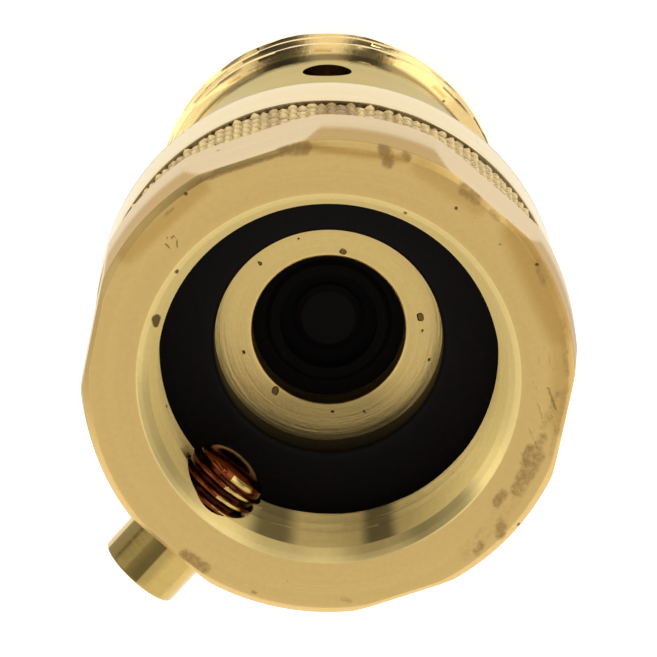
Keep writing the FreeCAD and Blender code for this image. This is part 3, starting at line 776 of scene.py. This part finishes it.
def inlet_half():
    """Inlet half: a closed outline turned round, with flats, knurl and thread pressed into its radius."""
    outline = spread(inlet_outline(), inlet_rows)
    turn = np.linspace(0, 2 * math.pi, KNURL_STEPS * KNURL_TEETH + 1)[None, :-1]
    radius = outline[:, :1] + 0 * turn
    height = outline[:, 1:] + 0 * turn
    depth = INLET_Z - height
    outer = radius > MOUTH_R + 0.05
    on_face = outer & (depth < 0.001)
    on_side = outer & (depth >= 0.001) & (depth < COLLAR_LENGTH - 0.001)
    on_rear = outer & (np.abs(depth - COLLAR_LENGTH) <= 0.001) & (radius > BAND_R)
    edge = collar_limit(turn, FACE_R, FLAT_BEVEL)
    face_part = MOUTH_R + (radius - MOUTH_R) * (edge - MOUTH_R) / (FACE_R - MOUTH_R)
    side_part = collar_limit(turn, radius, np.maximum(0, FLAT_BEVEL - depth))
    rear_edge = collar_limit(turn, COLLAR_R - REAR_CHAMFER, 0)
    rear_width = COLLAR_R - REAR_CHAMFER - BAND_R
    rear_part = BAND_R + (radius - BAND_R) * (rear_edge - BAND_R) / rear_width
    band_end = INLET_Z - BODY_END_Z - RING_LENGTH - GROOVE_WIDTH
    in_band = outer & (depth > COLLAR_LENGTH + 0.05) & (depth < band_end + 0.01) & (radius > BAND_R - 0.1)
    band_fade = smooth((depth - COLLAR_LENGTH - 0.02) / 0.15) * smooth((band_end - depth + 0.1) / 0.15)
    in_thread = (radius < FEMALE_R + 0.1) & (depth > LEAD_END - 0.2) & (depth < FEMALE_END + 0.1)
    in_thread &= radius > FEMALE_R - 0.1
    thread_fade = smooth((depth - LEAD_END + 0.1) / 0.5)
    new_radius = np.select([on_face, on_side, on_rear], [face_part, side_part, rear_part], radius)
    pressed = BAND_R + KNURL_LOW + (KNURL_HIGH - KNURL_LOW) * band_fade * knurl(height, turn)
    new_radius = np.where(in_band, pressed, new_radius)
    cut = THREAD_DEPTH * thread_cut(height, turn, PITCH, FEMALE_START) * thread_fade
    new_radius = np.where(in_thread, radius + cut, new_radius)
    zones = [inlet_zone(r, INLET_Z - z) for r, z in outline]
    materials = [FACE_BRASS, CHAMFER_BRASS, FLAT_BRASS, KNURL_BRASS, RING_BRASS, BORE_BRASS, SHELF_BRASS]
    grid = turned_grid(new_radius, height, turn + 0 * new_radius)
    piece = grid_object("inlet_body_brass", grid, materials, zones)
    drill(piece, radial_cutter(SCREW_HEAD_R, PORT_R, COLLAR_R + 2, SCREW_Z, 0.0))
    places = vertex_places(piece)
    radius = np.hypot(places[:, 0], places[:, 1])
    depth = INLET_Z - places[:, 2]
    turn = np.arctan2(places[:, 1], places[:, 0])
    knurled = (radius > BAND_R - 0.5) & (depth > COLLAR_LENGTH) & (depth < band_end)
    face_marks = marks_on(places, FACE_STAINS, INLET_Z - FACE_CHAMFER - 0.1, INLET_Z + 1)
    write_attribute(piece, "stain", np.maximum(face_marks, patches_on(places, KNURL_DIRT, knurled)))
    # Painted shade on the shelf's lower side, in the knurl's valleys, in the gap before the ring and on the
    # face edge's left, and painted reflections of dark surroundings in the socket and the mouth
    shelf_part = (radius < WASHER_INNER_R + 0.2) & (np.abs(depth - SHELF_DEPTH) < 0.3)
    valley = smooth((BAND_R + KNURL_LOW + 0.25 - radius) / 0.25)
    valley_shade_painted = np.where(knurled, VALLEY_SHADE * valley, 0)
    gap = (radius > BAND_R - 0.6) & (radius < RING_R - 0.05)
    gap &= np.abs(depth - band_end - GROOVE_WIDTH / 2) < 0.16
    socket = (radius > FEMALE_R - 0.1) & (radius < LEAD_R + 0.02)
    socket &= (depth > MOUTH_DEPTH) & (depth < FEMALE_END)
    mouth = (radius > LEAD_R + 0.02) & (radius < MOUTH_R - 0.05) & (depth < MOUTH_DEPTH)
    edge = (radius > FACE_R - 0.6) & (depth > 0.01) & (depth < FACE_CHAMFER + 0.02)
    write_attribute(piece, "shade", np.max([
        valley_shade_painted, np.where(gap, GAP_SHADE, 0), patches_on(places, SHELF_SHADE, shelf_part),
        patches_on(places, SOCKET_SHADE, socket), patches_on(places, MOUTH_SHADE, mouth),
        patches_on(places, EDGE_SHADE, edge)], axis=0))
    # A darker tint on the collar's round arcs, fading along the taper, and the face's wide marks
    round_part = smooth((collar_limit(turn, COLLAR_R + 1, 0) - radius) / 0.08)
    taper = (radius > FACE_R - 0.1) & (depth > FACE_CHAMFER * 0.9)
    taper_fade = smooth((TAPER_END + 0.9 - depth) / 1.6)
    face_dull = marks_on(places, FACE_DULL, INLET_Z - FACE_CHAMFER - 0.1, INLET_Z + 1)
    write_attribute(piece, "darkening", np.where(taper, ARC_DARKENING * round_part * taper_fade, face_dull))
    shelf_z = INLET_Z - SHELF_DEPTH
    shelf_marks = marks_on(places, SHELF_PITS, shelf_z - 0.5, shelf_z + 0.5)
    mouth_end = INLET_Z - MOUTH_DEPTH - 0.5
    face_pits = marks_on(places, FACE_PITS + FACE_SCRATCHES, mouth_end, INLET_Z + 1)
    write_attribute(piece, "pit", np.maximum(face_pits, shelf_marks))
    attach(piece, "root")
    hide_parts("inlet_body")
    return piece


def outlet_zone(radius, height):
    """Which finish a row of the outlet half has: 0 neck, 1 bore, 2 thread."""
    if radius < NECK_R - 0.5 and height > THREAD_LENGTH:
        return 1
    if radius < SLEEVE_BORE_R and height > 0.7:
        return 1
    return 2 if height < THREAD_LENGTH - 0.05 else 0


def outlet_half():
    """Outlet half: flange, neck and male thread on a closed outline, with its vent ports drilled."""
    top = INLET_Z - NIPPLE_HIGH.z
    flange_end = INLET_Z - BODY_END_Z - LIP_THICKNESS - 0.05
    thread_start = INLET_Z - THREAD_LENGTH
    corners = [
        (FLANGE_R, top, 0), (FLANGE_R, flange_end, 0), (NECK_R, flange_end, 0),
        (NECK_R, thread_start, 0.12), (MALE_R - THREAD_DEPTH, thread_start + 0.35, 0.1),
        (MALE_R - THREAD_DEPTH, INLET_Z - RUN_OUT - RUN_OUT_LENGTH, 0),
        (MALE_R, INLET_Z - RUN_OUT, 0),
        (MALE_R, INLET_Z - END_CHAMFER, 0.15), (MALE_R - END_CHAMFER, INLET_Z, 0.12),
        (OUTLET_R + 0.6, INLET_Z, 0.08), (OUTLET_R, INLET_Z - 0.6, 0.1), (OUTLET_R, LAND_DEPTH, 0),
        (SLEEVE_BORE_R, LAND_DEPTH, 0), (SLEEVE_BORE_R, O_RING_DEPTH + 0.8, 0),
        (SLEEVE_BORE_R + 1.2, O_RING_DEPTH + 0.8, 0), (SLEEVE_BORE_R + 1.2, O_RING_DEPTH - 0.8, 0),
        (SLEEVE_BORE_R, O_RING_DEPTH - 0.8, 0), (SLEEVE_BORE_R, AIR_BORE_END, 0),
        (AIR_BORE_R, AIR_BORE_END, 0), (AIR_BORE_R, POCKET_END, 0), (POCKET_R, POCKET_END, 0),
        (POCKET_R, top, 0)]
    outline = rounded([(r, INLET_Z - depth, cut) for r, depth, cut in corners])

    def rows(middle):
        """Fine steps on the thread and coarse ones elsewhere."""
        if middle[0] > MALE_R - END_CHAMFER and middle[1] < RUN_OUT + RUN_OUT_LENGTH:
            return PITCH / 16
        return 2.0

    outline = spread(outline, rows)
    turn = np.linspace(0, 2 * math.pi, 361)[None, :-1]
    radius = outline[:, :1] + 0 * turn
    height = outline[:, 1:] + 0 * turn
    cut = THREAD_DEPTH * thread_cut(height, turn, PITCH, MALE_START)
    threaded = (height < RUN_OUT + RUN_OUT_LENGTH) & (radius > MALE_R - END_CHAMFER - 0.01)
    radius = np.where(threaded, np.minimum(radius, MALE_R - cut), radius)
    zones = [outlet_zone(r, z) for r, z in outline]
    piece = grid_object("outlet_nipple_brass", turned_grid(radius, height, turn + 0 * radius),
                        [NECK_BRASS, BORE_BRASS, THREAD_BRASS], zones)
    for k in range(VENT_PORTS):
        angle = math.radians(VENT_TURN + k * 360 / VENT_PORTS)
        drill(piece, radial_cutter(VENT_R, AIR_BORE_R - 1, NECK_R + 1, INLET_Z - VENT_DEPTH, angle))
    places = vertex_places(piece)
    radius = np.hypot(places[:, 0], places[:, 1])
    height = places[:, 2]
    # A darker tint on the whole neck
    on_neck = (radius > NECK_R - 0.05) & (radius < NECK_R + 0.01)
    write_attribute(piece, "darkening", np.where(on_neck, NECK_DARKENING, 0))
    # Painted shade in the groove at the thread's run-out
    run_out = (height > RUN_OUT - 0.1) & (height < THREAD_LENGTH - 0.02) & (radius > OUTLET_R + 1)
    root = smooth((MALE_R - 0.6 - radius) / 0.2)
    write_attribute(piece, "shade", np.where(run_out, RUN_OUT_SHADE * root, 0))
    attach(piece, "root")
    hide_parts("outlet_nipple")
    return piece


def hose_washer():
    """Thick washer: a rounded rectangle turned round, its inner wall a little crowned."""
    low, high = WASHER_LOW.z, WASHER_HIGH.z
    outer = WASHER_HIGH.x
    outline = rounded([
        (WASHER_INNER_R, low, 0.3), (outer, low, 0.3), (outer, high, 0.5), (WASHER_INNER_R, high, 0.5)], 6)
    outline = spread(outline, lambda middle: 0.6)
    turn = np.linspace(0, 2 * math.pi, 193)[None, :-1]
    share = (outline[:, 1:] - low) / (high - low)
    crown = np.where(outline[:, :1] < WASHER_INNER_R + 0.6, 0.08 * np.sin(math.pi * share), 0)
    radius = outline[:, :1] - crown + 0 * turn
    height = outline[:, 1:] + 0 * turn
    piece = grid_object(
        "hose_washer_rubber", turned_grid(radius, height, turn + 0 * radius), [WASHER_RUBBER])
    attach(piece, "root")
    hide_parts("hose_washer")
    return piece


def screw():
    """Set screw along +X: an outline of (distance along X, radius) turned round, with a fine thread.

    The dome is an ellipse, r = R sqrt(1 - (1 - s)^2), where s runs from 0 at the tip to 1 at its foot.
    """
    tip = SCREW_LOW.x
    neck_end = FLAT_APOTHEM
    neck_start = neck_end - SCREW_NECK
    s = np.linspace(0.0, 1.0, 14) ** 1.5
    dome_x = tip + SCREW_DOME * s
    dome_r = (SCREW_R - 0.15) * np.sqrt(np.maximum(0, 1 - (1 - s) ** 2)) + 0.001
    body_x = np.arange(tip + SCREW_DOME + 0.05, neck_start, SCREW_PITCH / 12)
    body_r = np.full(len(body_x), SCREW_R)
    t = np.linspace(0, math.pi / 2, 7)
    head_end = SCREW_HIGH.x
    corner_x = head_end - SCREW_HEAD_ROUND * (1 - np.sin(t))
    corner_r = SCREW_HEAD_R - SCREW_HEAD_ROUND * (1 - np.cos(t))
    head_x = np.linspace(neck_end, head_end - SCREW_HEAD_ROUND, 8)[:-1]
    x = np.concatenate([dome_x, body_x, [neck_start, neck_start + 0.1, neck_end - 0.1, neck_end],
                        head_x, corner_x, [head_end, head_end]])
    r = np.concatenate([
        dome_r, body_r, [SCREW_NECK_R + 0.2, SCREW_NECK_R, SCREW_NECK_R, SCREW_HEAD_R - 0.15],
        np.full(len(head_x), SCREW_HEAD_R), corner_r, [1.2, 0.001]])
    turn = np.linspace(0, 2 * math.pi, 129)[None, :-1]
    along = x[:, None] + 0 * turn
    radius = r[:, None] + 0 * turn
    on_thread = (along > tip + SCREW_DOME * 0.55) & (along < neck_start - 0.02)
    fade = smooth((along - tip - SCREW_DOME * 0.55) / 0.8)
    cut = SCREW_THREAD * thread_cut(along, turn, SCREW_PITCH) * fade
    radius = np.where(on_thread, radius - cut, radius)
    grid = np.stack([along, radius * np.cos(turn), SCREW_Z + radius * np.sin(turn)], axis=-1)
    zones = [0 if value > neck_start else 1 for value in x]
    piece = grid_object(
        "break_off_screw_brass", grid, [SCREW_BRASS, TIP_BRASS_PAINTED_DARK], zones, close_rows=False)
    # Painted shade on one side of the head and in the thread's roots
    angle = np.degrees(turn) + 0 * along
    head = (angle > HEAD_SHADE_TURN[0]) & (angle < HEAD_SHADE_TURN[1])
    head &= (along > neck_start) & (radius > SCREW_HEAD_R - 0.05)
    root = smooth(cut / SCREW_THREAD) * on_thread
    write_attribute(piece, "shade", (ROOT_SHADE * root + HEAD_SHADE * head).ravel())
    # Painted glints: a window of crest faces near the tip gets the bright screw brass
    painted_glint = (angle > PAINTED_GLINT_TURN[0]) & (angle < PAINTED_GLINT_TURN[1]) & (cut < 0.3 * SCREW_THREAD)
    painted_glint &= (along > tip + PAINTED_GLINT_LENGTH[0]) & (along < tip + PAINTED_GLINT_LENGTH[1])
    index = np.zeros(len(piece.data.polygons), np.int32)
    piece.data.polygons.foreach_get("material_index", index)
    part = index[:painted_glint[:-1].size]
    part[painted_glint[:-1].ravel()] = 0
    piece.data.polygons.foreach_set("material_index", index)
    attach(piece, "screw")
    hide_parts("break_off_screw")
    return piece


def check_spring():
    """Round wire on a helix with closed ends: height is a straight ramp between two flat end turns."""
    count = int(SPRING_TURNS * 40)
    share = np.linspace(0, 1, count + 1)
    turn = share * SPRING_TURNS * 2 * math.pi
    low, high = SPRING_LOW.z + SPRING_WIRE_R, SPRING_HIGH.z - SPRING_WIRE_R
    end = SPRING_END_SHARE
    climb = np.clip((share - end) / (1 - 2 * end), 0, 1)
    closed = SPRING_END_RISE * np.minimum(share, end) / end
    closed_top = SPRING_END_RISE * np.maximum(0, share - (1 - end)) / end
    room = high - low - 2 * SPRING_END_RISE
    height = low + closed + closed_top + room * climb
    around = np.linspace(0, 2 * math.pi, 13)[:-1][None, :]
    radius = SPRING_R + SPRING_WIRE_R * np.cos(around)
    grid = np.stack([
        radius * np.cos(turn)[:, None], radius * np.sin(turn)[:, None],
        height[:, None] + SPRING_WIRE_R * np.sin(around)], axis=-1)
    piece = grid_object("check_spring_coil", grid, [STEEL], close_rows=False)
    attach(piece, "root")
    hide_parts("check_spring")
    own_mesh(piece)
    return piece


def dress(node, material):
    """Give a solid that keeps its shape its finish."""
    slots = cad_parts[node].data.materials
    slots.clear()
    slots.append(material)


def camera_axes():
    """Right, up and back of the camera in the frame.

    The image's angle 0 lies at minus the screw's image angle round the bore, and the camera is
    tipped by the tilt away from the bore's axis, towards the image's top.
    """
    base = -math.radians(SCREW_IMAGE_ANGLE)
    across = Vector((math.cos(base), math.sin(base), 0.0))
    along = Vector((-math.sin(base), math.cos(base), 0.0))
    axis = Vector((0.0, 0.0, 1.0))
    tilt = math.radians(TILT)
    up = along * math.cos(tilt) - axis * math.sin(tilt)
    back = along * math.sin(tilt) + axis * math.cos(tilt)
    return across, up, back


def add_camera():
    """Camera whose view puts the inlet's centre on the pixel where the photograph has it."""
    right, up, back = camera_axes()
    centre = Vector((0.0, 0.0, INLET_Z))
    half = PHOTO_SIZE / 2
    x0 = (INLET_CENTRE_PIXEL[0] - half) / PIXELS_PER_MM
    y0 = (half - INLET_CENTRE_PIXEL[1]) / PIXELS_PER_MM
    eye = centre - right * x0 - up * y0 + back * CAMERA_DISTANCE
    data = bpy.data.cameras.new("camera")
    data.sensor_width = SENSOR
    data.lens = PIXELS_PER_MM * CAMERA_DISTANCE / PHOTO_SIZE * SENSOR
    data.clip_start = 0.01
    data.clip_end = 10.0
    camera = bpy.data.objects.new("camera", data)
    turn = Matrix((right, up, back)).transposed().to_4x4()
    camera.matrix_world = Matrix.Translation(eye * MM) @ turn
    bpy.context.scene.collection.objects.link(camera)
    bpy.context.scene.camera = camera


def add_lamp(name, place, size, power):
    """Square area lamp at (right, up, back) of the camera's axes from the inlet's centre, in mm."""
    right, up, back = camera_axes()
    centre = Vector((0.0, 0.0, INLET_Z))
    spot = centre + right * place[0] + up * place[1] + back * place[2]
    data = bpy.data.lights.new(name, "AREA")
    data.size = size * MM
    data.energy = power
    lamp = bpy.data.objects.new(name, data)
    lamp.location = spot * MM
    lamp.rotation_euler = (spot - centre).to_track_quat("Z", "Y").to_euler()
    bpy.context.scene.collection.objects.link(lamp)


def add_floor():
    """Plain pale floor that glows evenly for the camera and in reflections."""
    side = 1.5
    low = -0.0002
    mesh = bpy.data.meshes.new("floor")
    corners = [(-side, -side, low), (side, -side, low), (side, side, low), (-side, side, low)]
    mesh.from_pydata(corners, [], [(0, 1, 2, 3)])
    material = bpy.data.materials.new("white floor")
    material.use_nodes = True
    tree = material.node_tree
    shader = tree.nodes["Principled BSDF"]
    shader.inputs["Base Color"].default_value = (0.9, 0.9, 0.9, 1.0)
    shader.inputs["Roughness"].default_value = 0.9
    shader.inputs["Emission Color"].default_value = (1.0, 1.0, 1.0, 1.0)
    path = tree.nodes.new("ShaderNodeLightPath")
    seen = maths(tree, "MAXIMUM", path.outputs["Is Camera Ray"], path.outputs["Is Glossy Ray"])
    seen = maths(tree, "MAXIMUM", seen, path.outputs["Is Transmission Ray"])
    tree.links.new(maths(tree, "MULTIPLY", seen, FLOOR_GLOW), shader.inputs["Emission Strength"])
    mesh.materials.append(material)
    floor = bpy.data.objects.new("floor", mesh)
    bpy.context.scene.collection.objects.link(floor)


def add_world():
    """Soft surround: bright sides with dark gaps standing in them, and a dimmer ceiling."""
    world = bpy.data.worlds.new("surround")
    world.use_nodes = True
    tree = world.node_tree
    background = tree.nodes["Background"]
    direction = tree.nodes.new("ShaderNodeTexCoord").outputs["Generated"]
    height = add(tree, "ShaderNodeSeparateXYZ", {0: direction}).outputs[2]
    right, up = camera_axes()[:2]
    level_up = Vector((up.x, up.y, 0.0)).normalized()
    parts = [add(tree, "ShaderNodeVectorMath", {0: direction, 1: tuple(axis)}, operation="DOT_PRODUCT")
             for axis in (right, level_up)]
    angle = maths(tree, "ARCTAN2", parts[1].outputs["Value"], parts[0].outputs["Value"])
    level = SIDES
    for middle, half, strength, top in GAPS:
        away = maths(tree, "ABSOLUTE", maths(tree, "SUBTRACT", angle, math.radians(middle)))
        inside = step(tree, away, math.radians(half * 1.25), math.radians(half * 0.75))
        inside = maths(tree, "MULTIPLY", inside, step(tree, height, top + 0.06, top - 0.06))
        kept = maths(tree, "SUBTRACT", 1.0, maths(tree, "MULTIPLY", inside, strength))
        level = maths(tree, "MULTIPLY", level, kept)
    share = step(tree, height, *CEILING_START)
    below = maths(tree, "MULTIPLY", level, maths(tree, "SUBTRACT", 1.0, share))
    tone = maths(tree, "ADD", below, maths(tree, "MULTIPLY", share, CEILING))
    tree.links.new(tone, background.inputs["Color"])
    bpy.context.scene.world = world


inlet_half()
outlet_half()
hose_washer()
screw()
check_spring()
for node in ("body_gasket", "vent_seal", "sleeve_o_ring", "check_disc"):
    dress(node, BLACK_RUBBER)
for node in ("disc_holder", "disc_retainer", "guide_spider"):
    dress(node, PLASTIC)
for node in ("retaining_ring", "stem_clip"):
    dress(node, STEEL)
dress("vent_seat_sleeve", SLEEVE_BRASS)

add_camera()
add_floor()
add_world()
add_lamp("right softbox", (360.0, 260.0, 320.0), 260.0, 0.15)
add_lamp("left fill", (-420.0, 120.0, 260.0), 320.0, 0.26)
add_lamp("small bright window", (150.0, 330.0, 300.0), 40.0, 0.06)
bpy.context.scene.view_settings.view_transform = "Standard"
